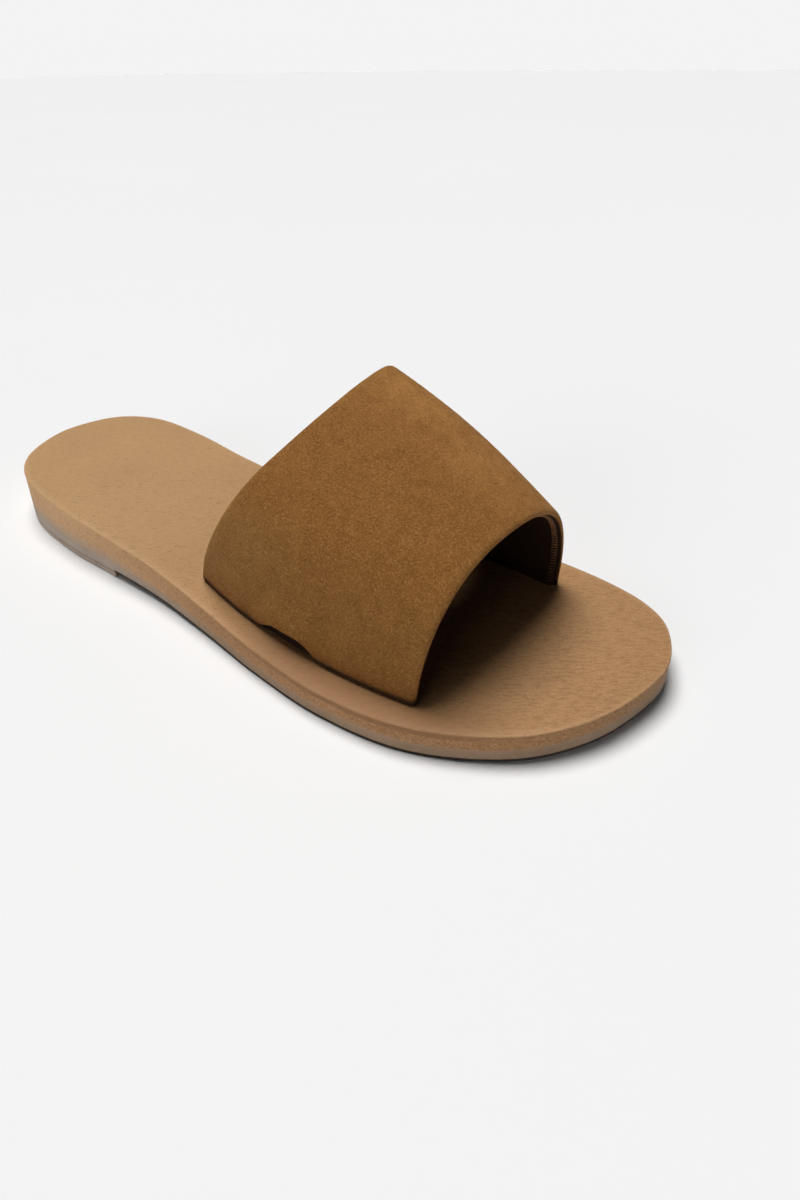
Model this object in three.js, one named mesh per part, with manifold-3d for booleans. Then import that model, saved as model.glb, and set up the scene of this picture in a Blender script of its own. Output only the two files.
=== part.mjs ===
// Slide sandal for the right foot.
// Millimetres, +X to the toe, +Y to the inner (medial) side, +Z up.
// The origin is on the floor under the middle of the sandal.

import * as THREE from 'three';
import { mergeVertices } from 'three/addons/utils/BufferGeometryUtils.js';
import ManifoldModule from 'manifold-3d';

// Named sizes
const LENGTH = 262;
const BALL_WIDTH = 95;
const HEEL_HEIGHT = 19.6;
const LIFT_HEIGHT = 2.2;
const OUTSOLE_THICKNESS = 4.2;
const FOOTBED_THICKNESS = 2.0;
const INSTEP_HEIGHT = 65.6;
const TOE_ARCH_HEIGHT = 42.4;
const STRAP_THICKNESS = 3.4;
const BASE_BOW = 4.4;
const CROWN_BOW = 2.0;
const FIT_GAP = 0.3;
const SLOT_GAP = 0.4;
const OUTSOLE_EDGE = 0.8;
const LIFT_EDGE = 0.5;
const LAYER_STEP = 0.2;
const RIM_DEPTH = 0.9;
const RIM_WIDTH = 1.0;

// Where the heel pad ends and how far the rear edge of the strap leans to the toe
const LIFT_END = 0.31;
const REAR_LEAN = 0.147;
const FRONT_LEAN = 0.022;

// Sole outline seen from above.
// along: share of the length from the heel; medial, lateral: share of the ball width.
const OUTLINE = [
  { along: 0.00, medial: 0.127, lateral: 0.127 },
  { along: 0.02, medial: 0.316, lateral: -0.071 },
  { along: 0.05, medial: 0.398, lateral: -0.172 },
  { along: 0.10, medial: 0.446, lateral: -0.252 },
  { along: 0.20, medial: 0.438, lateral: -0.316 },
  { along: 0.30, medial: 0.403, lateral: -0.340 },
  { along: 0.40, medial: 0.391, lateral: -0.362 },
  { along: 0.50, medial: 0.415, lateral: -0.408 },
  { along: 0.60, medial: 0.462, lateral: -0.464 },
  { along: 0.70, medial: 0.496, lateral: -0.499 },
  { along: 0.80, medial: 0.491, lateral: -0.478 },
  { along: 0.90, medial: 0.443, lateral: -0.356 },
  { along: 0.95, medial: 0.384, lateral: -0.226 },
  { along: 0.98, medial: 0.305, lateral: -0.086 },
  { along: 1.00, medial: 0.127, lateral: 0.127 },
];

// Sole seen from the side.
// top: foot side, share of the heel height; ground: underside of the outsole, share of the lift height.
const PROFILE = [
  { along: 0.00, top: 1.000, ground: 1.00 },
  { along: 0.10, top: 0.995, ground: 1.00 },
  { along: 0.20, top: 0.948, ground: 1.00 },
  { along: 0.30, top: 0.852, ground: 1.00 },
  { along: 0.40, top: 0.730, ground: 0.68 },
  { along: 0.50, top: 0.608, ground: 0.28 },
  { along: 0.60, top: 0.520, ground: 0.00 },
  { along: 0.70, top: 0.480, ground: 0.00 },
  { along: 0.80, top: 0.486, ground: 0.00 },
  { along: 0.90, top: 0.516, ground: 0.36 },
  { along: 1.00, top: 0.581, ground: 1.20 },
];

// Outer face of the strap at its rear and front edges, from the lateral base over to the medial base.
// across: share of half the ball width; up: share of that edge's height over the footbed.
const ARCHES = [
  { rearAcross: -0.606, rearUp: 0.000, frontAcross: -0.815, frontUp: 0.000 },
  { rearAcross: -0.644, rearUp: 0.163, frontAcross: -0.805, frontUp: 0.315 },
  { rearAcross: -0.657, rearUp: 0.338, frontAcross: -0.750, frontUp: 0.553 },
  { rearAcross: -0.610, rearUp: 0.528, frontAcross: -0.652, frontUp: 0.744 },
  { rearAcross: -0.495, rearUp: 0.667, frontAcross: -0.514, frontUp: 0.884 },
  { rearAcross: -0.295, rearUp: 0.773, frontAcross: -0.337, frontUp: 0.970 },
  { rearAcross: -0.042, rearUp: 0.884, frontAcross: -0.097, frontUp: 1.000 },
  { rearAcross: 0.232, rearUp: 0.976, frontAcross: 0.148, frontUp: 0.970 },
  { rearAcross: 0.463, rearUp: 1.000, frontAcross: 0.339, frontUp: 0.884 },
  { rearAcross: 0.642, rearUp: 0.932, frontAcross: 0.493, frontUp: 0.744 },
  { rearAcross: 0.754, rearUp: 0.763, frontAcross: 0.603, frontUp: 0.553 },
  { rearAcross: 0.771, rearUp: 0.386, frontAcross: 0.678, frontUp: 0.315 },
  { rearAcross: 0.684, rearUp: 0.000, frontAcross: 0.722, frontUp: 0.000 },
];

// Where the strap's two edges stand on the footbed, as shares of the length
const REAR_BASE = { lateral: 0.463, medial: 0.471 };
const FRONT_BASE = { lateral: 0.797, medial: 0.841 };

const OUTLINE_STEPS = 56;
const ARCH_STEPS = 48;
const STRAP_STEPS = 10;

const { Manifold, Mesh } = await loadManifold();

async function loadManifold() {
  const wasm = await ManifoldModule();
  wasm.setup();
  return wasm;
}

// Smooth look-up in a table that never swings past its rows
function lookUp(table, column, along) {
  const last = table.length - 2;
  let row = 0;
  while (row < last && along > table[row + 1].along) row += 1;
  const slope = (i) => (table[i + 1][column] - table[i][column]) / (table[i + 1].along - table[i].along);
  const bend = (i) => {
    if (i === 0 || i === table.length - 1) return slope(Math.min(i, last));
    const before = slope(i - 1);
    const after = slope(i);
    return before * after > 0 ? (2 * before * after) / (before + after) : 0;
  };
  const span = table[row + 1].along - table[row].along;
  const t = (along - table[row].along) / span;
  const from = table[row][column] * (1 + 2 * t) * (1 - t) ** 2 + bend(row) * span * t * (1 - t) ** 2;
  const to = table[row + 1][column] * t * t * (3 - 2 * t) - bend(row + 1) * span * t * t * (1 - t);
  return from + to;
}

// The outline as a closed curve: heel tip, medial side, toe tip, lateral side
function outlineCurve() {
  const medial = OUTLINE.map((row) => new THREE.Vector3(row.along, row.medial, 0));
  const lateral = OUTLINE.slice(1, -1).reverse().map((row) => new THREE.Vector3(row.along, row.lateral, 0));
  const points = [...medial, ...lateral];
  for (const point of points) point.set((point.x - 0.5) * LENGTH, point.y * BALL_WIDTH, 0);
  return new THREE.CatmullRomCurve3(points, true, 'centripetal');
}

// Sample points of the outline, two sides with as many points each
function outlineLoop() {
  const curve = outlineCurve();
  const loop = [];
  for (let i = 0; i < 2 * OUTLINE_STEPS; i += 1) {
    const spot = curve.getPoint(i / (2 * OUTLINE_STEPS));
    const turn = curve.getTangent(i / (2 * OUTLINE_STEPS));
    loop.push({ x: spot.x, y: spot.y, inX: turn.y, inY: -turn.x });
  }
  return loop;
}

const alongOf = (x) => Math.min(1, Math.max(0, x / LENGTH + 0.5));
const footbedTop = (x) => lookUp(PROFILE, 'top', alongOf(x)) * HEEL_HEIGHT;
const footbedBottom = (x) => footbedTop(x) - FOOTBED_THICKNESS;
const outsoleBottom = (x) => lookUp(PROFILE, 'ground', alongOf(x)) * LIFT_HEIGHT;
const outsoleTop = (x) => outsoleBottom(x) + OUTSOLE_THICKNESS;

// A closed solid from points and triangles
function solid(points, triangles) {
  const geometry = new THREE.BufferGeometry();
  geometry.setAttribute('position', new THREE.Float32BufferAttribute(points.flat(), 3));
  geometry.setIndex(triangles.flat());
  return geometry;
}

// One layer of the sole: closed loops stacked upward, each with its inset and its height
function soleLayer(levels) {
  const loop = outlineLoop();
  const count = loop.length;
  const points = [];
  for (const level of levels) {
    for (const spot of loop) {
      const x = spot.x + spot.inX * level.inset;
      const y = spot.y + spot.inY * level.inset;
      points.push([x, y, level.height(x)]);
    }
  }
  const triangles = [];
  for (let k = 0; k + 1 < levels.length; k += 1) {
    for (let i = 0; i < count; i += 1) {
      const next = (i + 1) % count;
      const low = k * count;
      const high = low + count;
      triangles.push([low + i, high + next, low + next], [low + i, high + i, high + next]);
    }
  }
  const top = (levels.length - 1) * count;
  for (let i = 0; i < count / 2; i += 1) {
    const near = i;
    const nearNext = i + 1;
    const far = (count - i) % count;
    const farNext = count - i - 1;
    for (const [a, b, c] of [[near, nearNext, farNext], [near, farNext, far]]) {
      if (a === b || b === c || a === c) continue;
      triangles.push([a, b, c], [top + a, top + c, top + b]);
    }
  }
  return solid(points, triangles);
}

function toManifold(geometry) {
  const merged = mergeVertices(geometry, 1e-5);
  return new Manifold(new Mesh({
    numProp: 3,
    vertProperties: new Float32Array(merged.getAttribute('position').array),
    triVerts: new Uint32Array(merged.getIndex().array),
  }));
}

function fromManifold(body) {
  const mesh = body.getMesh();
  const geometry = new THREE.BufferGeometry();
  geometry.setAttribute('position', new THREE.Float32BufferAttribute(mesh.vertProperties, 3));
  geometry.setIndex(Array.from(mesh.triVerts));
  return geometry;
}

// Rubber layer that meets the floor under the forefoot
function outsole() {
  return soleLayer([
    { inset: OUTSOLE_EDGE, height: outsoleBottom },
    { inset: 0, height: (x) => outsoleBottom(x) + OUTSOLE_EDGE },
    { inset: 0, height: outsoleTop },
  ]);
}

// Heel pad: the rear of the outline, cut straight across
function heelLift() {
  const least = LIFT_EDGE * 1.2;
  const whole = toManifold(soleLayer([
    { inset: LAYER_STEP + LIFT_EDGE, height: () => 0 },
    { inset: LAYER_STEP, height: () => LIFT_EDGE },
    { inset: LAYER_STEP, height: (x) => Math.max(outsoleBottom(x) - FIT_GAP, least) },
  ]));
  const cutX = (LIFT_END - 0.5) * LENGTH;
  return fromManifold(whole.trimByPlane([-1, 0, 0], -cutX));
}

// Wedge between the outsole and the footbed
function midsole() {
  return soleLayer([
    { inset: 0, height: (x) => outsoleTop(x) + FIT_GAP },
    { inset: LAYER_STEP, height: (x) => footbedBottom(x) - FIT_GAP },
  ]);
}

// The strap's outer face: edge 0 is the lateral base, edge 1 the medial base;
// run 0 is the rear edge, run 1 the front edge.
function archPoint(row, rear) {
  const height = rear ? INSTEP_HEIGHT : TOE_ARCH_HEIGHT;
  const base = rear ? REAR_BASE : FRONT_BASE;
  const across = (rear ? row.rearAcross : row.frontAcross) * BALL_WIDTH / 2;
  const up = rear ? row.rearUp : row.frontUp;
  const first = (rear ? ARCHES[0].rearAcross : ARCHES[0].frontAcross) * BALL_WIDTH / 2;
  const lastRow = ARCHES[ARCHES.length - 1];
  const last = (rear ? lastRow.rearAcross : lastRow.frontAcross) * BALL_WIDTH / 2;
  const share = Math.min(1, Math.max(0, (across - first) / (last - first)));
  const stand = base.lateral + (base.medial - base.lateral) * share;
  const lean = rear ? REAR_LEAN * up ** 1.2 : FRONT_LEAN * up;
  const floor = footbedTop((stand - 0.5) * LENGTH);
  return new THREE.Vector3((stand + lean - 0.5) * LENGTH, across, floor + up * height);
}

const archCurve = (rear) => new THREE.CatmullRomCurve3(ARCHES.map((row) => archPoint(row, rear)), false, 'centripetal');
const REAR_CURVE = archCurve(true);
const FRONT_CURVE = archCurve(false);

function strapFace(edge, run) {
  const rear = REAR_CURVE.getPoint(edge);
  const front = FRONT_CURVE.getPoint(edge);
  const spot = rear.clone().lerp(front, run);
  const way = REAR_CURVE.getTangent(edge).lerp(FRONT_CURVE.getTangent(edge), run);
  const out = new THREE.Vector3(0, -way.z, way.y).normalize();
  const bow = BASE_BOW + (CROWN_BOW - BASE_BOW) * Math.sin(Math.PI * edge);
  return spot.addScaledVector(out, bow * 4 * run * (1 - run));
}

function strapNormal(edge, run) {
  const step = 1e-3;
  const low = Math.max(0, edge - step);
  const high = Math.min(1, edge + step);
  const back = Math.max(0, run - step);
  const ahead = Math.min(1, run + step);
  const over = strapFace(high, run).sub(strapFace(low, run));
  const along = strapFace(edge, ahead).sub(strapFace(edge, back));
  const normal = over.cross(along).negate().normalize();
  if (edge === 0 || edge === 1) normal.setZ(0).normalize();
  return normal;
}

// Stations along the strap, close together where its edges are rounded
function strapRuns() {
  const length = strapFace(0.5, 0).distanceTo(strapFace(0.5, 1));
  const radius = STRAP_THICKNESS / 2;
  const rim = [0, 0.08, 0.35, 1].map((share) => (share * radius) / length);
  const runs = rim.map((run) => ({ run, deep: run * length / radius }));
  for (let i = 1; i < STRAP_STEPS; i += 1) {
    runs.push({ run: rim[3] + ((1 - 2 * rim[3]) * i) / STRAP_STEPS, deep: 1 });
  }
  for (const run of rim.slice().reverse()) runs.push({ run: 1 - run, deep: run * length / radius });
  return runs;
}

// One closed loop round the wall, over the outer face and back along the inner face
function strapLoop(edge, extra, reach) {
  const runs = strapRuns();
  const wall = (station, side) => {
    const half = (STRAP_THICKNESS / 2) * Math.sqrt(1 - (1 - Math.min(1, station.deep)) ** 2) + extra;
    const stretch = (station.run - 0.5) * 2 * reach;
    const spot = strapFace(edge, station.run);
    const normal = strapNormal(edge, station.run);
    spot.addScaledVector(normal, -STRAP_THICKNESS / 2 + side * half);
    return [spot.x + stretch, spot.y, spot.z];
  };
  const outer = runs.map((station) => wall(station, 1));
  const inner = runs.slice(1, -1).reverse().map((station) => wall(station, -1));
  return [...outer, ...inner];
}

// Padded band: the loop carried over the instep, with a straight leg at each end
function strap() {
  const depth = FOOTBED_THICKNESS - FIT_GAP;
  const leg = (edge) => strapLoop(edge, 0, 0).map(([x, y]) => [x, y, footbedTop(x) - depth]);
  const loops = [leg(0)];
  for (let i = 0; i <= ARCH_STEPS; i += 1) loops.push(strapLoop(i / ARCH_STEPS, 0, 0));
  loops.push(leg(1));
  const count = loops[0].length;
  const points = loops.flat();
  const triangles = [];
  for (let k = 0; k + 1 < loops.length; k += 1) {
    for (let i = 0; i < count; i += 1) {
      const next = (i + 1) % count;
      const low = k * count;
      const high = low + count;
      triangles.push([low + i, high + next, high + i], [low + i, low + next, high + next]);
    }
  }
  const end = (loops.length - 1) * count;
  for (let i = 0; i < count / 2; i += 1) {
    const pair = [i, i + 1, count - i - 1, (count - i) % count];
    for (const [a, b, c] of [[pair[0], pair[1], pair[2]], [pair[0], pair[2], pair[3]]]) {
      if (a === b || b === c || a === c) continue;
      triangles.push([a, c, b], [end + a, end + b, end + c]);
    }
  }
  return solid(points, triangles);
}

// The opening in the footbed that a leg of the strap goes down into
function slot(edge) {
  const outline = strapLoop(edge, SLOT_GAP, SLOT_GAP).map(([x, y]) => new THREE.Vector2(x, y));
  const depth = HEEL_HEIGHT * 3;
  const prism = new THREE.ExtrudeGeometry(new THREE.Shape(outline), { depth, bevelEnabled: false });
  prism.translate(0, 0, -HEEL_HEIGHT);
  prism.deleteAttribute('normal');
  prism.deleteAttribute('uv');
  return toManifold(prism);
}

// Leather cover that the foot stands on, with a softened upper edge
function footbed() {
  const cover = toManifold(soleLayer([
    { inset: LAYER_STEP, height: footbedBottom },
    { inset: LAYER_STEP, height: (x) => footbedTop(x) - RIM_DEPTH },
    { inset: LAYER_STEP + RIM_WIDTH * 0.3, height: (x) => footbedTop(x) - RIM_DEPTH * 0.33 },
    { inset: LAYER_STEP + RIM_WIDTH, height: footbedTop },
  ]));
  return fromManifold(cover.subtract(slot(0)).subtract(slot(1)));
}

function addPart(group, name, geometry, material) {
  const mesh = new THREE.Mesh(geometry, material);
  mesh.name = name;
  group.add(mesh);
}

const rubber = new THREE.MeshStandardMaterial({ color: 0x8a7a6c, roughness: 0.75, metalness: 0 });
const wedgeTan = new THREE.MeshStandardMaterial({ color: 0xa9825a, roughness: 0.7, metalness: 0 });
const tanLeather = new THREE.MeshStandardMaterial({ color: 0xb08a62, roughness: 0.6, metalness: 0 });
const nubuck = new THREE.MeshStandardMaterial({ color: 0x82582d, roughness: 0.85, metalness: 0 });

const group = new THREE.Group();
addPart(group, 'outsole', outsole(), rubber);
addPart(group, 'heel_lift', heelLift(), rubber);
addPart(group, 'midsole', midsole(), wedgeTan);
addPart(group, 'footbed', footbed(), tanLeather);
addPart(group, 'strap', strap(), nubuck);

export default group;
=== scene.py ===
# Looks of the slide sandal for the right foot.
# Metres, +X to the toe, +Y to the inner (medial) side, +Z up, origin on the floor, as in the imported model.

import math

import bmesh
import bpy
import numpy as np
from mathutils import Matrix, Vector, noise


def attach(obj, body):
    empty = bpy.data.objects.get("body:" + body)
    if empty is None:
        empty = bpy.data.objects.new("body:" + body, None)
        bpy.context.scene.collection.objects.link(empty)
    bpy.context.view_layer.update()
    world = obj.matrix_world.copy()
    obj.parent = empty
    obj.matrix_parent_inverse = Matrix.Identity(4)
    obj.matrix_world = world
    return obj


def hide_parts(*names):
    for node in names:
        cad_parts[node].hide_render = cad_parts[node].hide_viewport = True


MM = 0.001

# Sizes of the sandal
LENGTH = 262 * MM
BALL_WIDTH = 95 * MM
HEEL_HEIGHT = 19.6 * MM
LIFT_HEIGHT = 2.2 * MM
OUTSOLE_THICKNESS = 4.2 * MM
FOOTBED_THICKNESS = 2.0 * MM
INSTEP_HEIGHT = 65.6 * MM
TOE_ARCH_HEIGHT = 42.4 * MM
STRAP_THICKNESS = 3.4 * MM
BASE_BOW = 4.4 * MM
CROWN_BOW = 2.0 * MM
LIFT_END = 0.31
REAR_LEAN = 0.147
FRONT_LEAN = 0.022

# The padded shell, its lining and its stitches
SHELL_THICKNESS = 2.4 * MM
SHELL_ROLL = 1.7 * MM
SHELL_INNER_ROLL = 1.6 * MM
BASE_TUCK = 1.5 * MM
PUCKER_LIFT = 3.6 * MM
PUCKER_RISE = (0.325, 0.44)
PUCKER_FALL = (0.53, 0.64)
PUCKER_BULGE = 0.9 * MM
PUCKER_PLACE = 0.055
PUCKER_WIDTH = 0.035
WAVE_HEIGHT = 0.22 * MM
BASE_REACH = 0.11
ARCH_SPAN = 145 * MM
LEG_DEPTH = 1.6 * MM
UNDERCUT = 1.3 * MM
LINING_MARGIN = 0.9 * MM
LINING_EDGE = (0.45, 0.12, 0.0, 0.12, 0.45)
LINING_DEPTHS = (2.25, 2.42, 2.8, 3.18, 3.35)
STITCH_REACH = 2.3 * MM
STITCH_PITCH = 1.3 * MM
STITCH_RADIUS = 0.26 * MM
STITCH_DEPTHS = (2.55, 3.15, 3.5, 3.5, 3.3)
STITCH_SAMPLES = 600
THREAD_SIDES = 8

# Folds beside the pucker: height in mm, from and to as (edge, run), width in mm
FOLDS = (
    (0.45, (0.03, 0.33), (0.09, 0.44), 2.2),
    (-0.40, (0.02, 0.30), (0.12, 0.36), 2.4),
    (-0.30, (0.02, 0.66), (0.10, 0.62), 3.0),
)

# The sole's small edges, its tread and the lines that its marks follow
OVERHANG = 0.1 * MM
RIM_HEIGHT = 1.0 * MM
RIM_ROUND = 0.6 * MM
OUTSOLE_ROUND = 0.45 * MM
LIFT_ROUND = 0.5 * MM
LIFT_INSET = 0.05 * MM
LIFT_LEAST = 0.7 * MM
TREAD_MARGIN = 7 * MM
FORE_TREAD = (-0.02, 0.36 * LENGTH)
HEEL_TREAD = (-0.44 * LENGTH, (LIFT_END - 0.5) * LENGTH - 5 * MM)
TREAD_WAVE = 1.2 * MM
TREAD_WAVE_LENGTH = 11 * MM
TREAD_PITCH = 5.5 * MM
TREAD_WIDTH = 1.3 * MM
TREAD_DEPTH = 0.5 * MM
GROUND_LINE = 1.1 * MM
GROUND_EDGE = 0.15 * MM
GROUND_LEVELS = 6
UPPER_LINE = 2.8 * MM
GREY_SHARES = (0.0, 0.2, 0.4, 0.6, 1.0)
GREY_MARKS = (0.75, 0.5, 0.2, 0.0, 0.0)
GREY_FADE = (0.26, 0.42)
SHADE_START = (0.50, 0.64)
SHADE_END = (0.82, 0.94)
SHADE_REACH = (4 * MM, 13 * MM)

# The studio
STUDIO_RADIUS = 6.0
STUDIO_HEIGHT = 6.0
BACKDROP_BRIGHTNESS = 0.9
WORLD_BRIGHTNESS = 0.02

# Lights: azimuth from +X, elevation, strength, apparent size; angles in degrees
OVERHEAD_SOFTBOX = (164, 76, 3.12, 34)
SIDE_SOFTBOX = (262, 14, 0.62, 40)

# How finely the meshes are built
SIDE_ROWS = 260
TREAD_ROWS = 520
CROSS_COLUMNS = 30
ROUND_STEPS = 5
SHARP_ANGLE = 38
STRAP_ROWS = 230
STRAP_COLUMNS = 96

# Sole outline seen from above.
# Columns: share of the length from the heel; medial and lateral, as shares of the ball width
OUTLINE = (
    (0.00, 0.127, 0.127),
    (0.02, 0.316, -0.071),
    (0.05, 0.398, -0.172),
    (0.10, 0.446, -0.252),
    (0.20, 0.438, -0.316),
    (0.30, 0.403, -0.340),
    (0.40, 0.391, -0.362),
    (0.50, 0.415, -0.408),
    (0.60, 0.462, -0.464),
    (0.70, 0.496, -0.499),
    (0.80, 0.491, -0.478),
    (0.90, 0.443, -0.356),
    (0.95, 0.384, -0.226),
    (0.98, 0.305, -0.086),
    (1.00, 0.127, 0.127),
)

# Sole seen from the side.
# Columns: share of the length; top as a share of the heel height; ground as a share of the lift height
PROFILE = (
    (0.00, 1.000, 1.00),
    (0.10, 0.995, 1.00),
    (0.20, 0.948, 1.00),
    (0.30, 0.852, 1.00),
    (0.40, 0.730, 0.68),
    (0.50, 0.608, 0.28),
    (0.60, 0.520, 0.00),
    (0.70, 0.480, 0.00),
    (0.80, 0.486, 0.00),
    (0.90, 0.516, 0.36),
    (1.00, 0.581, 1.20),
)

# Outer face of the strap, from the lateral base over to the medial base.
# Columns: rear across, rear up, front across, front up.
# across: share of half the ball width; up: share of that edge's height
ARCHES = (
    (-0.606, 0.000, -0.815, 0.000),
    (-0.644, 0.163, -0.805, 0.315),
    (-0.657, 0.338, -0.750, 0.553),
    (-0.610, 0.528, -0.652, 0.744),
    (-0.495, 0.667, -0.514, 0.884),
    (-0.295, 0.773, -0.337, 0.970),
    (-0.042, 0.884, -0.097, 1.000),
    (0.232, 0.976, 0.148, 0.970),
    (0.463, 1.000, 0.339, 0.884),
    (0.642, 0.932, 0.493, 0.744),
    (0.754, 0.763, 0.603, 0.553),
    (0.771, 0.386, 0.678, 0.315),
    (0.684, 0.000, 0.722, 0.000),
)
REAR_BASE = (0.463, 0.471)
FRONT_BASE = (0.797, 0.841)

# The camera, found from the photograph: place in metres, angles in degrees, sizes in pixels of 800 x 1200
CAMERA_PLACE = (0.15907, -0.17120, 0.16583)
CAMERA_AZIMUTH = 32.584
CAMERA_ELEVATION = 28.285
CAMERA_ROLL = -0.576
FOCAL_PIXELS = 789.5
AXIS_ROW = 469.5
PICTURE_HEIGHT = 1200


def side_curve(column):
    """Smooth look-up in the side table that never swings past its rows."""
    along = np.array([row[0] for row in PROFILE])
    value = np.array([row[column] for row in PROFILE])
    slope = np.diff(value) / np.diff(along)
    bend = np.concatenate(([slope[0]], np.zeros(len(slope) - 1), [slope[-1]]))
    for i in range(1, len(slope)):
        if slope[i - 1] * slope[i] > 0:
            bend[i] = 2 * slope[i - 1] * slope[i] / (slope[i - 1] + slope[i])

    def at(x):
        share = np.clip(np.asarray(x) / LENGTH + 0.5, 0, 1)
        row = np.clip(np.searchsorted(along, share, side="right") - 1, 0, len(along) - 2)
        span = along[row + 1] - along[row]
        t = (share - along[row]) / span
        start = value[row] * (1 + 2 * t) * (1 - t) ** 2 + bend[row] * span * t * (1 - t) ** 2
        end = value[row + 1] * t * t * (3 - 2 * t) - bend[row + 1] * span * t * t * (1 - t)
        return start + end

    return at


TOP_CURVE = side_curve(1)
GROUND_CURVE = side_curve(2)


def footbed_top(x):
    return TOP_CURVE(x) * HEEL_HEIGHT


def footbed_bottom(x):
    return footbed_top(x) - FOOTBED_THICKNESS


def outsole_bottom(x):
    return GROUND_CURVE(x) * LIFT_HEIGHT


def outsole_top(x):
    return outsole_bottom(x) + OUTSOLE_THICKNESS


def smooth_curve(points, closed):
    """Centripetal Catmull-Rom curve through the points, as a function of a share from 0 to 1."""
    points = np.asarray(points, float)
    count = len(points)
    if closed:
        ring = np.vstack((points[-1:], points, points[:2]))
    else:
        ring = np.vstack((2 * points[:1] - points[1:2], points, 2 * points[-1:] - points[-2:-1]))
    spans = count if closed else count - 1

    def at(share):
        place = np.asarray(share, float) * spans
        row = np.clip(np.floor(place).astype(int), 0, spans - 1)
        t = (place - row)[..., None]
        p0, p1, p2, p3 = (ring[row + k] for k in range(4))
        pairs = ((p0, p1), (p1, p2), (p2, p3))
        d0, d1, d2 = (np.sqrt(np.linalg.norm(b - a, axis=-1))[..., None] for a, b in pairs)
        m1 = ((p1 - p0) / d0 - (p2 - p0) / (d0 + d1) + (p2 - p1) / d1) * d1
        m2 = ((p2 - p1) / d1 - (p3 - p1) / (d1 + d2) + (p3 - p2) / d2) * d1
        return p1 + m1 * t + (3 * p2 - 3 * p1 - 2 * m1 - m2) * t**2 + (2 * p1 - 2 * p2 + m1 + m2) * t**3

    return at


def outline_loop(rows):
    """Points round the sole and their inward directions: heel tip, medial side, toe tip, lateral side."""
    medial = [(along, across) for along, across, _ in OUTLINE]
    lateral = [(along, across) for along, _, across in OUTLINE[1:-1]]
    points = [((along - 0.5) * LENGTH, across * BALL_WIDTH) for along, across in medial + lateral[::-1]]
    curve = smooth_curve(points, closed=True)
    share = np.arange(2 * rows) / (2 * rows)
    step = 1e-4
    way = curve((share + step) % 1) - curve((share - step) % 1)
    way /= np.linalg.norm(way, axis=1)[:, None]
    return curve(share), np.stack((way[:, 1], -way[:, 0]), axis=1)


def mesh_object(name, points, faces, materials, marks=None):
    """A smooth-shaded mesh object at the origin. marks: named numbers, one for each point."""
    mesh = bpy.data.meshes.new(name)
    mesh.from_pydata([tuple(p) for p in points], [], [tuple(int(i) for i in f) for f in faces])
    mesh.validate()
    for mark, values in (marks or {}).items():
        layer = mesh.attributes.new(mark, "FLOAT", "POINT")
        layer.data.foreach_set("value", np.asarray(values, np.float32))
    mesh.shade_smooth()
    mesh.set_sharp_from_angle(angle=math.radians(SHARP_ANGLE))
    for material in materials:
        mesh.materials.append(material)
    piece = bpy.data.objects.new(name, mesh)
    bpy.context.scene.collection.objects.link(piece)
    return piece


def grid_faces(rows, count):
    """Quads between closed loops of count points that are stacked one after another."""
    faces = []
    for k in range(rows - 1):
        low = k * count
        high = low + count
        for i in range(count):
            after = (i + 1) % count
            faces.append((low + i, low + after, high + after, high + i))
    return faces


def cross_cap(points, loop, rows, height, upward):
    """Closes a loop of the sole with rows of points from its medial to its lateral side."""
    count = 2 * rows
    shares = np.arange(1, CROSS_COLUMNS) / CROSS_COLUMNS
    lines = []
    for i in range(1, rows):
        near = points[loop + i]
        far = points[loop + count - i]
        first = len(points)
        for share in shares:
            x = near[0] + (far[0] - near[0]) * share
            y = near[1] + (far[1] - near[1]) * share
            points.append((x, y, float(height(x, y))))
        lines.append([loop + i, *range(first, first + len(shares)), loop + count - i])
    faces = []
    for before, after in zip(lines, lines[1:]):
        for k in range(CROSS_COLUMNS):
            faces.append((before[k], after[k], after[k + 1], before[k + 1]))
    for tip, line, ahead in ((loop, lines[0], True), (loop + rows, lines[-1], False)):
        for k in range(CROSS_COLUMNS):
            pair = (line[k], line[k + 1]) if ahead else (line[k + 1], line[k])
            faces.append((tip, *pair))
    return faces if upward else [face[::-1] for face in faces]


def layer_mesh(rows, levels, top, bottom):
    """One layer of the sole: loops from the ground up, each with its inset and height, and two caps."""
    spots, inward = outline_loop(rows)
    points = []
    for inset, height in levels:
        place = spots + inward * inset
        points += [(x, y, float(height(x))) for x, y in place]
    count = 2 * rows
    faces = grid_faces(len(levels), count)
    faces += cross_cap(points, 0, rows, bottom, upward=False)
    faces += cross_cap(points, (len(levels) - 1) * count, rows, top, upward=True)
    return points, faces


def rounded(inset, radius, start, end, height, rise):
    """Levels of a rounded edge: angles in degrees, 0 is the vertical side and 90 the flat."""
    levels = []
    for angle in np.radians(np.linspace(start, end, ROUND_STEPS)):
        deep = radius * (1 - math.cos(angle))
        high = radius * math.sin(angle)
        levels.append((inset + deep, lambda x, high=high: height(x) + rise * (high - radius)))
    return levels


def tread(x, y, from_x, to_x):
    """Depth of the shallow crosswise grooves under the sole, inside its rim."""
    if not from_x < x < to_x or not inside_rim(x, y, TREAD_MARGIN):
        return 0.0
    wave = x + TREAD_WAVE * math.sin(y / TREAD_WAVE_LENGTH)
    off = abs((wave / TREAD_PITCH) % 1 - 0.5) * TREAD_PITCH
    edge = max(0.0, 1 - off / (TREAD_WIDTH / 2))
    return TREAD_DEPTH * min(1.0, 2 * edge)


def inside_rim(x, y, margin):
    """True where a spot lies further inside the sole's outline than the margin."""
    share = x / LENGTH + 0.5
    along = [row[0] for row in OUTLINE]
    medial = np.interp(share, along, [row[1] for row in OUTLINE]) * BALL_WIDTH
    lateral = np.interp(share, along, [row[2] for row in OUTLINE]) * BALL_WIDTH
    return lateral + margin < y < medial - margin


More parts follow.
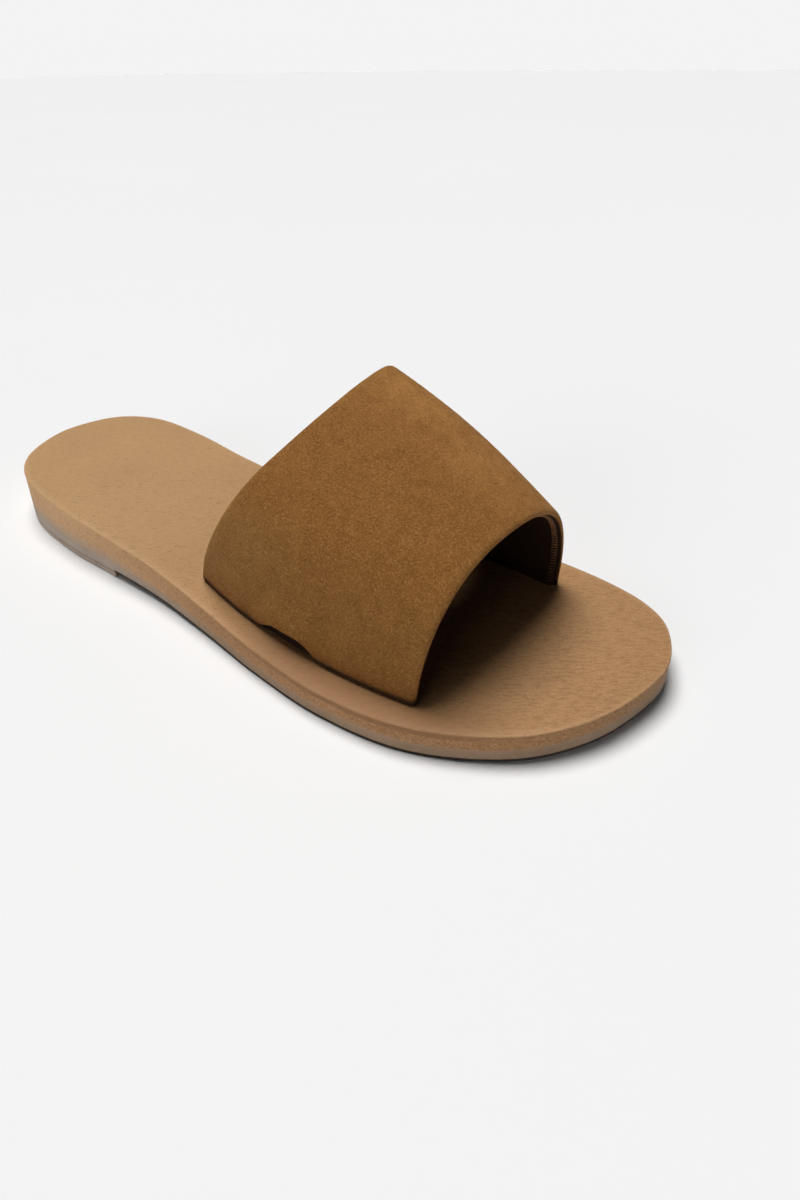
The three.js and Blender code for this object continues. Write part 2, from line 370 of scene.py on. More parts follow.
def side_marks(points, level_count, rows, from_x):
    """Marks on the rubber's side: its lowest band ahead of the given place, painted dark as the shadow where
    it meets the floor, and its upper edge.
    """
    count = 2 * rows
    ground = np.zeros(len(points))
    upper = np.zeros(len(points))
    # Painted shadow along the rubber's lower edge.
    ground[:GROUND_LEVELS * count] = 1
    ground[np.array(points)[:, 0] < from_x] = 0
    upper[(level_count - 1) * count:level_count * count] = 1
    return {"ground": ground, "upper": upper}


def build_outsole(material):
    """Rubber layer with a softened lower edge and a shallow tread under the forefoot."""
    def under(x, y):
        return outsole_bottom(x) + tread(x, y, *FORE_TREAD)

    levels = rounded(0.0, OUTSOLE_ROUND, 90, 0, outsole_bottom, -1)
    for high in (GROUND_LINE, GROUND_LINE + GROUND_EDGE, UPPER_LINE, OUTSOLE_THICKNESS):
        levels.append((0.0, lambda x, high=high: outsole_bottom(x) + high))
    points, faces = layer_mesh(TREAD_ROWS, levels, lambda x, y: outsole_top(x), under)
    marks = side_marks(points, len(levels), TREAD_ROWS, (LIFT_END - 0.5) * LENGTH)
    return mesh_object("outsole_rubber", points, faces, [material], marks)


def build_heel_lift(material):
    """Heel pad with a shallow tread: the rear of the outline, cut straight across."""
    cut_x = (LIFT_END - 0.5) * LENGTH

    def lift_top(x):
        return np.maximum(outsole_bottom(x), LIFT_LEAST)

    levels = rounded(LIFT_INSET, LIFT_ROUND, 90, 0, np.zeros_like, -1)
    levels += [(LIFT_INSET, lift_top)]
    points, faces = layer_mesh(
        TREAD_ROWS, levels, lambda x, y: lift_top(x), lambda x, y: tread(x, y, *HEEL_TREAD)
    )
    piece = mesh_object("heel_lift_rubber", points, faces, [material])
    shape = bmesh.new()
    shape.from_mesh(piece.data)
    everything = shape.verts[:] + shape.edges[:] + shape.faces[:]
    bmesh.ops.bisect_plane(
        shape, geom=everything, plane_co=(cut_x, 0, 0), plane_no=(1, 0, 0), clear_outer=True
    )
    open_edges = [edge for edge in shape.edges if edge.is_boundary]
    bmesh.ops.edgeloop_fill(shape, edges=open_edges)
    bmesh.ops.recalc_face_normals(shape, faces=shape.faces[:])
    shape.to_mesh(piece.data)
    shape.free()
    piece.data.shade_smooth()
    piece.data.set_sharp_from_angle(angle=math.radians(SHARP_ANGLE))
    return piece


def build_midsole(material):
    """Wedge whose side takes on the grey of the rubber towards its lower edge, most of all at the heel."""
    levels = []
    for share in GREY_SHARES:
        levels.append((
            -OVERHANG * share,
            lambda x, share=share: outsole_top(x) + (footbed_bottom(x) - outsole_top(x)) * share,
        ))
    points, faces = layer_mesh(
        SIDE_ROWS, levels, lambda x, y: footbed_bottom(x), lambda x, y: outsole_top(x)
    )
    grey = np.zeros(len(points))
    grey[:len(GREY_SHARES) * 2 * SIDE_ROWS] = np.repeat(GREY_MARKS, 2 * SIDE_ROWS)
    grey *= 1 - 0.8 * smooth_step(np.array(points)[:, 0] / LENGTH + 0.5, *GREY_FADE)
    return mesh_object("midsole_wedge", points, faces, [material], {"grey": grey})


def build_footbed(top_material, side_material):
    """Cover with a rounded rim, shaded outside the strap; its side is finished as the wedge below it."""
    inset = -OVERHANG
    levels = [(inset, footbed_bottom), (inset - OVERHANG, lambda x: footbed_top(x) - RIM_HEIGHT)]
    levels += rounded(inset - OVERHANG, RIM_ROUND, 0, 90, footbed_top, 1)
    points, faces = layer_mesh(
        SIDE_ROWS, levels, lambda x, y: footbed_top(x), lambda x, y: footbed_bottom(x)
    )
    count = 2 * SIDE_ROWS
    # Painted highlight along the rounded rim of the cover.
    rim = np.zeros(len(points))
    for k, share in ((3, 0.3), (4, 0.8), (5, 1.0), (6, 0.7)):
        rim[k * count:(k + 1) * count] = share
    spots = np.array(points)
    share = spots[:, 0] / LENGTH + 0.5
    lateral = np.interp(share, [row[0] for row in OUTLINE], [row[2] for row in OUTLINE]) * BALL_WIDTH
    shade = smooth_step(share, *SHADE_START) * (1 - smooth_step(share, *SHADE_END))
    shade *= 1 - smooth_step(spots[:, 1] - lateral, *SHADE_REACH)
    marks = {"rim": rim, "shade": shade}
    piece = mesh_object("footbed_leather", points, faces, [top_material, side_material], marks)
    for face in piece.data.polygons[:3 * count]:
        face.material_index = 1
    return piece


def arch_curve(rear):
    """The strap's outer face at its rear or its front edge."""
    across = np.array([row[0 if rear else 2] for row in ARCHES]) * BALL_WIDTH / 2
    up = np.array([row[1 if rear else 3] for row in ARCHES])
    height = INSTEP_HEIGHT if rear else TOE_ARCH_HEIGHT
    base = REAR_BASE if rear else FRONT_BASE
    share = np.clip((across - across[0]) / (across[-1] - across[0]), 0, 1)
    stand = base[0] + (base[1] - base[0]) * share
    lean = REAR_LEAN * up**1.2 if rear else FRONT_LEAN * up
    floor = footbed_top((stand - 0.5) * LENGTH)
    spots = np.stack(((stand + lean - 0.5) * LENGTH, across, floor + up * height), axis=1)
    return smooth_curve(spots, closed=False)


REAR_CURVE = arch_curve(True)
FRONT_CURVE = arch_curve(False)


def strap_face(edge, run):
    """Outer face of the strap. edge: 0 lateral base, 1 medial base. run: 0 rear edge, 1 front edge."""
    step = 1e-4
    low = np.clip(edge - step, 0, 1)
    high = np.clip(edge + step, 0, 1)
    share = run[..., None]
    spot = REAR_CURVE(edge) * (1 - share) + FRONT_CURVE(edge) * share
    rear_way = REAR_CURVE(high) - REAR_CURVE(low)
    front_way = FRONT_CURVE(high) - FRONT_CURVE(low)
    way = rear_way * (1 - share) + front_way * share
    out = np.stack((np.zeros_like(way[..., 0]), -way[..., 2], way[..., 1]), axis=-1)
    out /= np.linalg.norm(out, axis=-1)[..., None]
    bow = BASE_BOW + (CROWN_BOW - BASE_BOW) * np.sin(np.pi * edge)
    return spot + out * (bow * 4 * run * (1 - run))[..., None]


def strap_normal(edge, run):
    """Outward direction of the strap's outer face."""
    step = 1e-3
    over = strap_face(np.clip(edge + step, 0, 1), run) - strap_face(np.clip(edge - step, 0, 1), run)
    along = strap_face(edge, np.clip(run + step, 0, 1)) - strap_face(edge, np.clip(run - step, 0, 1))
    normal = -np.cross(over, along)
    return normal / np.linalg.norm(normal, axis=-1)[..., None]


def crown_length():
    """Straight distance between the strap's rear and front edges at the middle of the arch."""
    middle = np.array(0.5)
    return float(np.linalg.norm(strap_face(middle, np.array(0.0)) - strap_face(middle, np.array(1.0))))


STRAP_LENGTH = crown_length()


def smooth_step(value, low, high):
    """0 below the low value, 1 above the high one, and a smooth rise between."""
    t = np.clip((value - low) / (high - low), 0, 1)
    return t * t * (3 - 2 * t)


def pucker(run):
    """How far the strap's lateral base stands off the footbed, as a share of its most."""
    return smooth_step(run, *PUCKER_RISE) * (1 - smooth_step(run, *PUCKER_FALL))


def ridge(edge, run, from_spot, to_spot, width):
    """A soft ridge from one spot of the strap to another; spots are (edge, run), the width is in metres."""
    scale = np.array((ARCH_SPAN, STRAP_LENGTH))
    spot = np.stack((edge, run), axis=-1) * scale
    start = np.array(from_spot) * scale
    way = np.array(to_spot) * scale - start
    share = np.clip(((spot - start) @ way) / (way @ way), 0, 1)
    off = np.linalg.norm(spot - start - share[..., None] * way, axis=-1)
    return np.exp(-(off / width) ** 2)


def soft_unevenness(spots):
    """The padding's slight waves, as a share of their height."""
    flat = spots.reshape(-1, 3)
    values = [noise.noise(Vector(spot) * 42) + 0.5 * noise.noise(Vector(spot) * 95) for spot in flat]
    return np.array(values).reshape(spots.shape[:-1])


def strap_relief(edge, run):
    """Height of the folds and waves that stand out of the strap's outer face."""
    spots = strap_face(edge, run)
    inner = smooth_step(run, 0, 0.06) * (1 - smooth_step(run, 0.94, 1))
    away = smooth_step(edge, 0, 0.05) * (1 - smooth_step(edge, 0.95, 1))
    height = WAVE_HEIGHT * soft_unevenness(spots) * inner * away
    height += PUCKER_BULGE * pucker(run) * np.exp(-((edge - PUCKER_PLACE) / PUCKER_WIDTH) ** 2)
    for rise, from_spot, to_spot, width in FOLDS:
        height += rise * MM * ridge(edge, run, from_spot, to_spot, width * MM)
    return height


def base_shift(edge, run):
    """Where a row of the mesh lies on the face once both bases are tucked and the pucker is lifted."""
    step = 1e-3
    low_step = strap_face(0 * run + step, run) - strap_face(0 * run, run)
    high_step = strap_face(0 * run + 1, run) - strap_face(0 * run + 1 - step, run)
    low_speed = np.linalg.norm(low_step, axis=-1) / step
    high_speed = np.linalg.norm(high_step, axis=-1) / step
    lift = BASE_TUCK + PUCKER_LIFT * pucker(run)
    edge = edge + lift / low_speed * np.clip(1 - edge / BASE_REACH, 0, 1) ** 2
    return edge - BASE_TUCK / high_speed * np.clip((edge - 1 + BASE_REACH) / BASE_REACH, 0, 1) ** 2


def graded_edges():
    """Row places from base to base, closer together at both bases."""
    share = np.linspace(0, 1, STRAP_ROWS)
    return share - 0.6 * np.sin(2 * np.pi * share) / (2 * np.pi)


def band_rows(runs, depths):
    """Loops of points round the strap's section, from the lateral leg over the arch to the medial leg."""
    half = STRAP_THICKNESS / 2
    outside = depths < half
    loops = []

    def place(edge, share, drop):
        spots = strap_face(edge, runs)
        normals = strap_normal(edge, runs)
        deep = np.where(outside, half - (half - depths) * share, depths)
        spots = spots - normals * deep[:, None]
        spots[:, 2] -= drop
        return spots

    def leg(end):
        edge = base_shift(np.full_like(runs, end), runs)
        lifted = pucker(runs) if end == 0 else np.zeros_like(runs)
        bottom = place(edge, 1.0, 0.0)
        floor = footbed_top(bottom[:, 0]) - LEG_DEPTH
        undercut = 1 - (BASE_TUCK + UNDERCUT * lifted) / half
        rows = []
        for angle in np.radians((18, 36, 54, 72, 90)):
            share = 1 - BASE_TUCK / half * (1 - math.cos(angle))
            rows.append(place(edge, share, np.where(outside, BASE_TUCK * math.sin(angle), 0)))
        rows.append(place(edge, undercut, np.where(outside, BASE_TUCK * 0.9, 0)))
        last = place(edge, undercut, 0.0)
        last[:, 2] = floor
        rows.append(last)
        return rows

    loops += leg(0.0)[::-1]
    for end in graded_edges():
        edge = base_shift(np.full_like(runs, end), runs)
        spots = place(edge, 1.0, 0.0)
        if outside.any():
            height = strap_relief(edge, runs) * np.clip((half - depths) / half, 0, 1)
            spots += strap_normal(edge, runs) * height[:, None]
        loops.append(spots)
    loops += leg(1.0)
    return loops


def strap_section():
    """The strap's section as runs and depths: over the outer face, round the front rim, back inside."""
    half = SHELL_THICKNESS / 2
    turns = np.radians(np.linspace(0, 90, 9))
    rim_outer = SHELL_ROLL * (1 - np.cos(turns)) / STRAP_LENGTH
    rim_inner = SHELL_INNER_ROLL * (1 - np.cos(turns)) / STRAP_LENGTH
    middle = np.linspace(rim_outer[-1], 1 - rim_outer[-1], STRAP_COLUMNS)[1:-1]
    inside = np.linspace(1 - rim_inner[-1], rim_inner[-1], STRAP_COLUMNS // 2)[1:-1]
    runs = np.concatenate((
        rim_outer, middle, 1 - rim_outer[::-1], (1 - rim_inner)[1:], inside, rim_inner[::-1][:-1]
    ))
    depths = np.concatenate((
        half - half * np.sin(turns),
        np.zeros(len(middle)),
        (half - half * np.sin(turns))[::-1],
        (half + half * np.sin(turns))[1:],
        np.full(len(inside), SHELL_THICKNESS),
        (half + half * np.sin(turns))[::-1][:-1],
    ))
    return runs, depths


def closed_band(name, runs, depths, materials):
    """A closed solid band from the section carried over the arch."""
    loops = band_rows(runs, depths)
    count = len(runs)
    points = np.vstack(loops)
    faces = [face[::-1] for face in grid_faces(len(loops), count)]
    faces.append(tuple(range(count)))
    faces.append(tuple(range((len(loops) - 1) * count, len(loops) * count))[::-1])
    height = np.clip(points[:, 2] - footbed_top(points[:, 0]), 0, 1)
    run = np.tile(runs, len(loops))
    deep = np.tile(depths, len(loops))
    legs = (len(loops) - STRAP_ROWS) // 2
    edge = np.repeat(np.concatenate((np.zeros(legs), graded_edges(), np.ones(legs))), count)
    # Painted shade: near black over the shell's inner face and over its legs, tucked under at both bases.
    inner_shade = smooth_step(deep, 0.55 * SHELL_THICKNESS, 0.8 * SHELL_THICKNESS)
    inner_shade[:(legs - 1) * count] = 1
    inner_shade[(len(loops) - legs + 1) * count:] = 1
    marks = {
        # Painted shade: darker towards the strap's base on the footbed.
        "base": np.exp(-height / (4 * MM)),
        # Painted contact shadow: a dark line where the strap meets the footbed.
        "foot_shadow": 1 - smooth_step(height, 1.4 * MM, 3.3 * MM),
        # Painted highlight along the rolled front and rear edges.
        "rim": np.exp(-(np.minimum(run, 1 - run) * STRAP_LENGTH / (3.2 * MM)) ** 2),
        "inner_shade": inner_shade,
        # Painted light: paler over the top of the arch, most towards its inner side and front edge, darker
        # towards both bases.
        "crown_light": smooth_step(edge, 0.44, 0.66) * (1 - smooth_step(edge, 0.84, 0.98)) * (0.9 + 0.35 * run),
        "olive": (1 - smooth_step(edge, 0.1, 0.34)) * (1 - smooth_step(run, 0.14, 0.42)),
    }
    return mesh_object(name, points, faces, materials, marks)


def build_strap(material):
    runs, depths = strap_section()
    return closed_band("strap_nubuck", runs, depths, [material])


def build_lining(material):
    """Leather lining inside the padded shell, with thin rounded edges a little behind the shell's."""
    edge = np.array(LINING_EDGE) * MM + LINING_MARGIN
    edge_depths = np.array(LINING_DEPTHS) * MM
    there = np.linspace(edge[0] + 1 * MM, STRAP_LENGTH - edge[0] - 1 * MM, STRAP_COLUMNS // 2)
    runs = np.concatenate((edge[::-1], there, STRAP_LENGTH - edge, there[::-1]))
    depths = np.concatenate((
        edge_depths[::-1],
        np.full(len(there), edge_depths[0]),
        edge_depths,
        np.full(len(there), edge_depths[-1]),
    ))
    return closed_band("strap_lining", runs / STRAP_LENGTH, depths, [material])


def thread(path, radius, side):
    """A short rounded thread along a path of spots; side is the direction across it."""
    points = []
    widths = [0.45] + [1.0] * (len(path) - 2) + [0.45]
    for k, centre in enumerate(path):
        way = path[min(k + 1, len(path) - 1)] - path[max(k - 1, 0)]
        up = np.cross(side, way)
        up /= np.linalg.norm(up)
        for i in range(THREAD_SIDES):
            angle = 2 * math.pi * i / THREAD_SIDES
            points.append(centre + radius * widths[k] * (math.cos(angle) * side + math.sin(angle) * up))
    faces = grid_faces(len(path), THREAD_SIDES)
    faces.append(tuple(range(THREAD_SIDES))[::-1])
    faces.append(tuple(range((len(path) - 1) * THREAD_SIDES, len(path) * THREAD_SIDES)))
    return points, faces


def build_stitches(material):
    """Close whip stitches that wrap the lining's front edge, each one a short thread over it."""
    spread = np.linspace(0.012, 0.988, STITCH_SAMPLES)
    steps = np.linalg.norm(np.diff(strap_face(spread, np.ones(STITCH_SAMPLES)), axis=0), axis=1)
    travel = np.concatenate(([0.0], np.cumsum(steps)))
    length = travel[-1]
    middles = np.interp(np.arange(0, length, STITCH_PITCH), travel, spread)
    shares = np.array((0.0, 0.12, 0.45, 0.8, 1.0))
    back = LINING_MARGIN - 0.12 * MM + (STITCH_REACH - LINING_MARGIN) * shares
    depths = np.array(STITCH_DEPTHS) * MM
    lean = 0.55 * STITCH_PITCH / length
    points = []
    faces = []
    for middle in middles:
        edge = middle + lean * (shares - 0.5)
        run = 1 - back / STRAP_LENGTH
        path = strap_face(edge, run) - strap_normal(edge, run) * depths[:, None]
        side = strap_face(np.array(middle + 1e-3), run[2]) - strap_face(np.array(middle - 1e-3), run[2])
        more, sides = thread(path, STITCH_RADIUS, side / np.linalg.norm(side))
        faces += [tuple(i + len(points) for i in face) for face in sides]
        points += more
    points = np.array(points)
    height = np.clip(points[:, 2] - footbed_top(points[:, 0]), 0, 1)
    # Painted shade: the stitches darken towards the footbed.
    return mesh_object("strap_stitches", points, faces, [material], {"base": np.exp(-height / (16 * MM))})


def tone(red, green, blue):
    """A colour given as on a screen, 0 to 255, turned into Blender's linear colour."""
    def linear(value):
        value /= 255
        return value / 12.92 if value <= 0.04045 else ((value + 0.055) / 1.055) ** 2.4
    return (linear(red), linear(green), linear(blue), 1.0)


class Look:
    """A node material with short helpers for its patterns."""

    def __init__(self, name, roughness, specular):
        self.material = bpy.data.materials.new(name)
        self.material.use_nodes = True
        self.tree = self.material.node_tree
        self.tree.nodes.clear()
        end = self.tree.nodes.new("ShaderNodeOutputMaterial")
        self.shader = self.tree.nodes.new("ShaderNodeBsdfPrincipled")
        self.shader.inputs["Roughness"].default_value = roughness
        self.shader.inputs["Specular IOR Level"].default_value = specular
        self.link(self.shader.outputs["BSDF"], end.inputs["Surface"])
        self.place = self.tree.nodes.new("ShaderNodeTexCoord").outputs["Object"]

    def link(self, out, into):
        self.tree.links.new(out, into)

    def stretched(self, length, turn):
        """The place, with patterns drawn out to the given length along a direction in degrees from +X."""
        mapping = self.tree.nodes.new("ShaderNodeMapping")
        mapping.vector_type = "TEXTURE"
        mapping.inputs["Scale"].default_value = (length, 1, 1)
        mapping.inputs["Rotation"].default_value = (0, 0, math.radians(turn))
        self.link(self.place, mapping.inputs["Vector"])
        return mapping.outputs["Vector"]

    def noise(self, size, detail=3.0, roughness=0.55, length=1, turn=0):
        """Noise with features of about the given size in metres, drawn out along one direction if wanted."""
        node = self.tree.nodes.new("ShaderNodeTexNoise")
        node.inputs["Scale"].default_value = 1 / size
        node.inputs["Detail"].default_value = detail
        node.inputs["Roughness"].default_value = roughness
        self.link(self.stretched(length, turn) if length != 1 else self.place, node.inputs["Vector"])
        return node.outputs["Fac"]

    def spread(self, value, from_low, from_high, to_low=0.0, to_high=1.0):
        """The value carried from one range over to another and held at its ends."""
        node = self.tree.nodes.new("ShaderNodeMapRange")
        limits = {"From Min": from_low, "From Max": from_high, "To Min": to_low, "To Max": to_high}
        for name, number in limits.items():
            node.inputs[name].default_value = number
        self.link(value, node.inputs["Value"])
        return node.outputs["Result"]

    def mark(self, name):
        node = self.tree.nodes.new("ShaderNodeAttribute")
        node.attribute_name = name
        return node.outputs["Fac"]

    def along(self):
        """Place along the sandal, from the heel to the toe, as a share."""
        node = self.tree.nodes.new("ShaderNodeSeparateXYZ")
        self.link(self.place, node.inputs["Vector"])
        return self.spread(node.outputs["X"], -LENGTH / 2, LENGTH / 2)

    def mix(self, share, first, second):
        node = self.tree.nodes.new("ShaderNodeMix")
        node.data_type = "RGBA"
        self.link(share, node.inputs["Factor"])
        for socket, colour in ((node.inputs["A"], first), (node.inputs["B"], second)):
            if isinstance(colour, tuple):
                socket.default_value = colour
            else:
                self.link(colour, socket)
        return node.outputs["Result"]

    def sum(self, first, second, share):
        """first plus second times share."""
        node = self.tree.nodes.new("ShaderNodeMath")
        node.operation = "MULTIPLY_ADD"
        self.link(second, node.inputs[0])
        node.inputs[1].default_value = share
        self.link(first, node.inputs[2])
        return node.outputs["Value"]

    def colour(self, out):
        self.link(out, self.shader.inputs["Base Color"])

    def roughness(self, out):
        self.link(out, self.shader.inputs["Roughness"])

    def bump(self, height, distance):
        node = self.tree.nodes.new("ShaderNodeBump")
        node.inputs["Distance"].default_value = distance
        self.link(height, node.inputs["Height"])
        self.link(node.outputs["Normal"], self.shader.inputs["Normal"])


def nubuck_look(name):
    """Brushed leather: paler over the top of the arch and darker towards both bases in painted light, olive
    at the rear outer side, cloudy, with a fine nap, painted highlights along its rolled edges and painted
    shade at its base and inside.
    """
    look = Look(name, 0.9, 0.2)
    look.shader.inputs["Sheen Weight"].default_value = 0.05
    look.shader.inputs["Sheen Roughness"].default_value = 0.5
    look.shader.inputs["Sheen Tint"].default_value = tone(214, 170, 112)
    clouds = look.spread(look.noise(26 * MM, 2, 0.5), 0.38, 0.64)
    blotches = look.spread(look.noise(4.5 * MM, 4, 0.65), 0.36, 0.66)
    nap = look.noise(0.55 * MM, 3, 0.7)
    # Painted light: a shaded copy of the tone at the bases and a lit copy over the top of the arch.
    colour = look.mix(look.mark("crown_light"), tone(140, 94, 42), tone(178, 125, 66))
    colour = look.mix(look.spread(look.mark("olive"), 0, 1, 0.0, 0.6), colour, tone(148, 106, 58))
    colour = look.mix(look.spread(clouds, 0, 1, 0.0, 0.4), colour, tone(138, 88, 38))
    colour = look.mix(look.spread(blotches, 0, 1, 0.0, 0.42), colour, tone(116, 76, 32))
    colour = look.mix(look.spread(nap, 0.52, 0.68, 0.0, 0.38), colour, tone(202, 154, 94))
    colour = look.mix(look.spread(nap, 0.48, 0.32, 0.0, 0.52), colour, tone(84, 50, 18))
    # Painted highlight along the rolled edges.
    colour = look.mix(look.spread(look.mark("rim"), 0, 1, 0.0, 0.06), colour, tone(176, 132, 80))
    # Painted shade towards the strap's base.
    colour = look.mix(look.spread(look.mark("base"), 0.2, 1, 0.0, 0.5), colour, tone(84, 56, 26))
    # Painted contact shadow where the strap meets the footbed.
    colour = look.mix(look.spread(look.mark("foot_shadow"), 0, 1, 0.0, 0.9), colour, tone(26, 15, 8))
    # Painted shade, near black, on the shell's inner face and its legs.
    colour = look.mix(look.mark("inner_shade"), colour, tone(34, 20, 12))
    look.colour(colour)
    look.roughness(look.spread(blotches, 0, 1, 0.84, 0.95))
    look.bump(look.sum(look.noise(2.2 * MM, 3, 0.6), nap, 1.0), 0.3 * MM)
    return look.material


def lining_look():
    """Lining leather in dark browns that paint the shade inside the strap, darker still towards its base in
    painted shade.
    """
    look = Look("lining_leather", 0.8, 0.15)
    grain = look.noise(0.9 * MM, 4, 0.6)
    cloud = look.noise(18 * MM, 2, 0.5)
    # Painted shade: these dark browns stand for the shade inside the strap.
    colour = look.mix(look.spread(cloud, 0.35, 0.65), tone(44, 28, 18), tone(54, 35, 22))
    colour = look.mix(look.spread(look.mark("base"), 0.1, 1, 0.0, 0.6), colour, tone(28, 17, 11))
    look.colour(look.mix(look.spread(grain, 0.5, 0.75, 0, 0.5), colour, tone(34, 21, 13)))
    look.roughness(look.spread(grain, 0.3, 0.7, 0.7, 0.88))
    look.bump(grain, 0.12 * MM)
    return look.material


def thread_look():
    look = Look("whip_thread", 0.7, 0.3)
    twist = look.noise(0.5 * MM, 2, 0.5)
    colour = look.mix(look.spread(twist, 0.35, 0.65), tone(150, 104, 66), tone(182, 136, 94))
    # Painted shade: the thread darkens towards the strap's base.
    look.colour(look.mix(look.spread(look.mark("base"), 0.05, 0.6, 0.0, 0.85), colour, tone(52, 32, 22)))
    look.bump(twist, 0.06 * MM)
    return look.material


def tan_look(name, heel, middle, toe, speck, roughness):
    """Smooth tan leather in three tones along the sandal that are painted light, paler at the heel, with
    streaks, pores, a painted highlight on the rim and painted shade at the edge.
    """
    look = Look(name, roughness, 0.3)
    streak = look.noise(0.7 * MM, 3, 0.65, 4, 32)
    pores = look.noise(0.55 * MM, 3, 0.75)
    cloud = look.noise(30 * MM, 3, 0.5)
    along = look.along()
    # Painted light: the heel, middle and toe tones make the heel paler than the rest.
    colour = look.mix(look.spread(along, 0.26, 0.52), heel, middle)
    colour = look.mix(look.spread(along, 0.78, 1.0), colour, toe)
    colour = look.mix(look.spread(cloud, 0.35, 0.68, 0.0, 0.3), colour, tone(164, 124, 84))
    fibre = look.spread(look.sum(streak, along, 0.14), 0.60, 0.74, 0.0, 0.6)
    colour = look.mix(fibre, colour, tone(140, 100, 64))
    colour = look.mix(look.spread(pores, 0.54, 0.68, 0.0, speck), colour, tone(216, 178, 134))
    colour = look.mix(look.spread(pores, 0.46, 0.32, 0.0, speck), colour, tone(132, 92, 58))
    # Painted highlight on the rim.
    colour = look.mix(look.spread(look.mark("rim"), 0, 1, 0.0, 0.35), colour, tone(206, 168, 126))
    colour = look.mix(look.spread(look.mark("shade"), 0, 1, 0.0, 0.75), colour, tone(142, 102, 66))
    colour = look.mix(look.mark("grey"), colour, tone(170, 152, 136))
    look.colour(colour)
    look.roughness(look.spread(streak, 0.3, 0.75, roughness - 0.08, roughness + 0.1))
    look.bump(look.sum(streak, pores, 0.7), 0.12 * MM)
    return look.material


def rubber_look():
    """Stippled rubber, grey at the heel and browner ahead, stained tan above, with a painted shadow dark
    along its lower edge where it meets the floor.
    """
    look = Look("sole_rubber", 0.8, 0.25)
    stipple = look.noise(0.8 * MM, 2, 0.6)
    cloud = look.noise(16 * MM, 3, 0.6)
    heel = look.mix(look.spread(cloud, 0.35, 0.65), tone(178, 162, 148), tone(164, 148, 134))
    fore = look.mix(look.spread(cloud, 0.35, 0.65), tone(158, 132, 108), tone(148, 122, 98))
    colour = look.mix(look.spread(look.along(), 0.28, 0.5), heel, fore)
    colour = look.mix(look.spread(stipple, 0.56, 0.72, 0.0, 0.3), colour, tone(194, 170, 148))
    colour = look.mix(look.spread(look.mark("upper"), 0, 1, 0.0, 0.35), colour, tone(176, 144, 112))
    # Painted shadow where the rubber meets the floor.
    colour = look.mix(look.mark("ground"), colour, tone(44, 36, 32))
    look.colour(colour)
    look.roughness(look.spread(cloud, 0.3, 0.7, 0.75, 0.88))
    look.bump(stipple, 0.1 * MM)
    return look.material


def floor_look():
    look = Look("studio_floor", 0.9, 0.1)
    mottle = look.noise(400 * MM, 2, 0.5)
    look.colour(look.mix(mottle, (0.86, 0.86, 0.86, 1), (0.88, 0.88, 0.88, 1)))
    return look.material


def backdrop_look():
    """Evenly pale, as bright as the lit floor."""
    look = Look("studio_backdrop", 1.0, 0.0)
    look.shader.inputs["Base Color"].default_value = (0, 0, 0, 1)
    look.shader.inputs["Emission Color"].default_value = (1, 1, 1, 1)
    look.shader.inputs["Emission Strength"].default_value = BACKDROP_BRIGHTNESS
    return look.material


def view_directions():
    """The camera's right, up and forward directions."""
    azimuth, elevation, roll = (math.radians(a) for a in (CAMERA_AZIMUTH, CAMERA_ELEVATION, CAMERA_ROLL))
    level = math.cos(elevation)
    forward = Vector((-math.sin(azimuth) * level, math.cos(azimuth) * level, -math.sin(elevation)))
    right = Vector((math.cos(azimuth), math.sin(azimuth), 0))
    up = right.cross(forward)
    rolled_right = right * math.cos(roll) + up * math.sin(roll)
    rolled_up = up * math.cos(roll) - right * math.sin(roll)
    return rolled_right, rolled_up, forward


def place_camera():
    right, up, forward = view_directions()
    data = bpy.data.cameras.new("photo_camera")
    data.sensor_fit = "VERTICAL"
    data.sensor_height = 36
    data.lens = FOCAL_PIXELS / PICTURE_HEIGHT * data.sensor_height
    data.shift_y = -(PICTURE_HEIGHT / 2 - AXIS_ROW) / PICTURE_HEIGHT
    data.clip_start = 0.01
    camera = bpy.data.objects.new("photo_camera", data)
    turn = Matrix((right, up, -forward)).transposed().to_4x4()
    camera.matrix_world = Matrix.Translation(Vector(CAMERA_PLACE)) @ turn
    bpy.context.scene.collection.objects.link(camera)
    bpy.context.scene.camera = camera


def place_floor():
    """A wide round floor, and a pale wall round it that lights and shades nothing."""
    turns = np.radians(np.arange(0, 360, 5))
    ring = [(STUDIO_RADIUS * math.cos(turn), STUDIO_RADIUS * math.sin(turn)) for turn in turns]
    mesh_object("studio_floor", [(x, y, 0) for x, y in ring], [range(len(ring))], [floor_look()])
    wall_points = [(x, y, height) for height in (0, STUDIO_HEIGHT) for x, y in ring]
    wall = mesh_object("studio_backdrop", wall_points, grid_faces(2, len(ring)), [backdrop_look()])
    wall.visible_diffuse = False
    wall.visible_glossy = False
    wall.visible_shadow = False


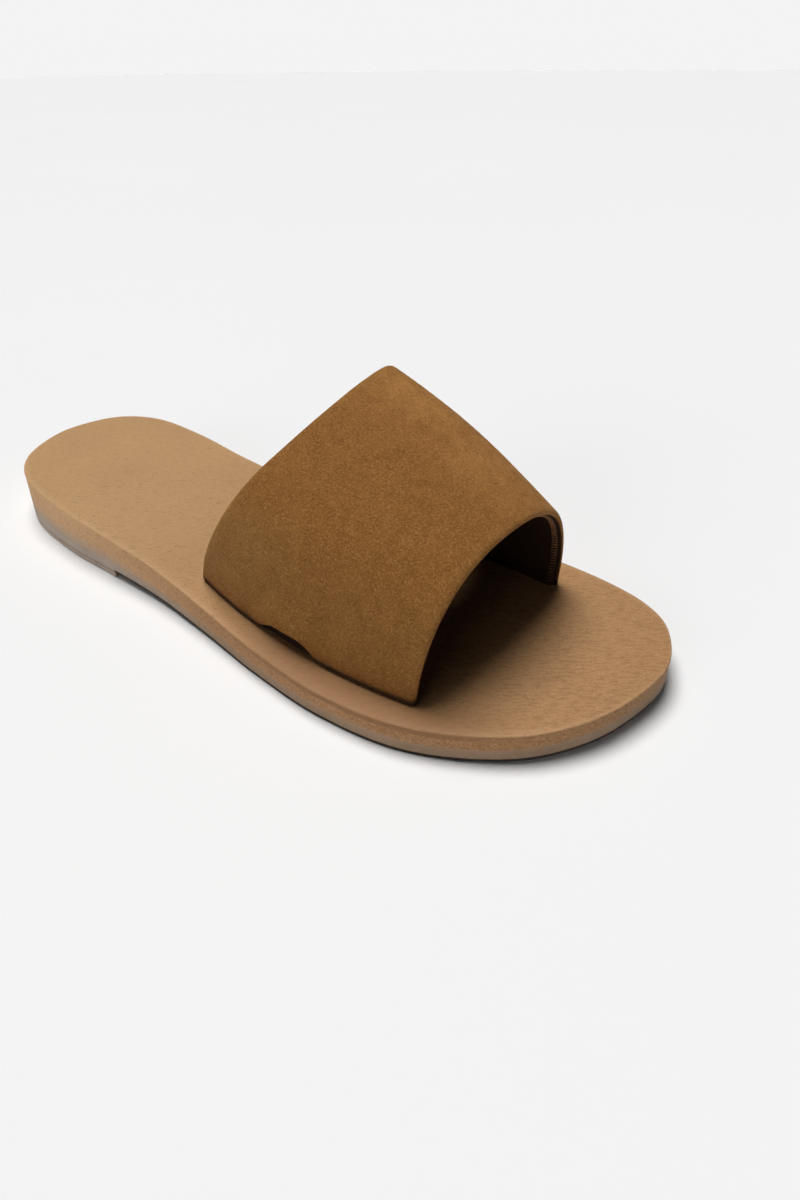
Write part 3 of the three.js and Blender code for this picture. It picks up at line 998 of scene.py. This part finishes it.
def studio_light(name, azimuth, elevation, strength, spread):
    """A soft light from far away: azimuth from +X, elevation and apparent size in degrees."""
    data = bpy.data.lights.new(name, "SUN")
    data.energy = strength
    data.angle = math.radians(spread)
    light = bpy.data.objects.new(name, data)
    turn, rise = math.radians(azimuth), math.radians(elevation)
    from_light = -Vector((math.cos(turn) * math.cos(rise), math.sin(turn) * math.cos(rise), math.sin(rise)))
    light.rotation_euler = from_light.to_track_quat("-Z", "Y").to_euler()
    bpy.context.scene.collection.objects.link(light)


def place_lights():
    studio_light("overhead_softbox", *OVERHEAD_SOFTBOX)
    studio_light("side_softbox", *SIDE_SOFTBOX)
    world = bpy.data.worlds.new("studio_world")
    world.use_nodes = True
    background = world.node_tree.nodes["Background"]
    background.inputs["Color"].default_value = (1.0, 1.0, 1.0, 1.0)
    background.inputs["Strength"].default_value = WORLD_BRIGHTNESS
    bpy.context.scene.world = world
    bpy.context.scene.view_settings.view_transform = "Standard"


def dress(piece, node):
    """The piece rides on the one body and stands for its CAD node."""
    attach(piece, "root")
    if node:
        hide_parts(node)


def build_sandal():
    rubber = rubber_look()
    dress(build_outsole(rubber), "outsole")
    dress(build_heel_lift(rubber), "heel_lift")
    # The heel, middle and toe tones are painted light, paler at the heel.
    top = tan_look("footbed_leather", tone(185, 145, 99), tone(174, 132, 87), tone(168, 126, 83), 0.3, 0.6)
    side = tan_look("wedge_leather", tone(212, 168, 122), tone(170, 123, 77), tone(172, 128, 84), 0.6, 0.75)
    dress(build_midsole(side), "midsole")
    dress(build_footbed(top, side), "footbed")
    strap = build_strap(nubuck_look("strap_nubuck"))
    dress(strap, "strap")
    dress(build_lining(lining_look()), None)
    dress(build_stitches(thread_look()), None)


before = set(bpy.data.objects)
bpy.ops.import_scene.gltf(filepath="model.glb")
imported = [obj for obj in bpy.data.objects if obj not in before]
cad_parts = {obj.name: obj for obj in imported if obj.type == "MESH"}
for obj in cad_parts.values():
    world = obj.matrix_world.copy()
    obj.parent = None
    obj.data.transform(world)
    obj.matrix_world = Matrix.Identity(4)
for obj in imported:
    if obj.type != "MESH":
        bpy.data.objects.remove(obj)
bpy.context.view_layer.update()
place_camera()
place_floor()
place_lights()
build_sandal()
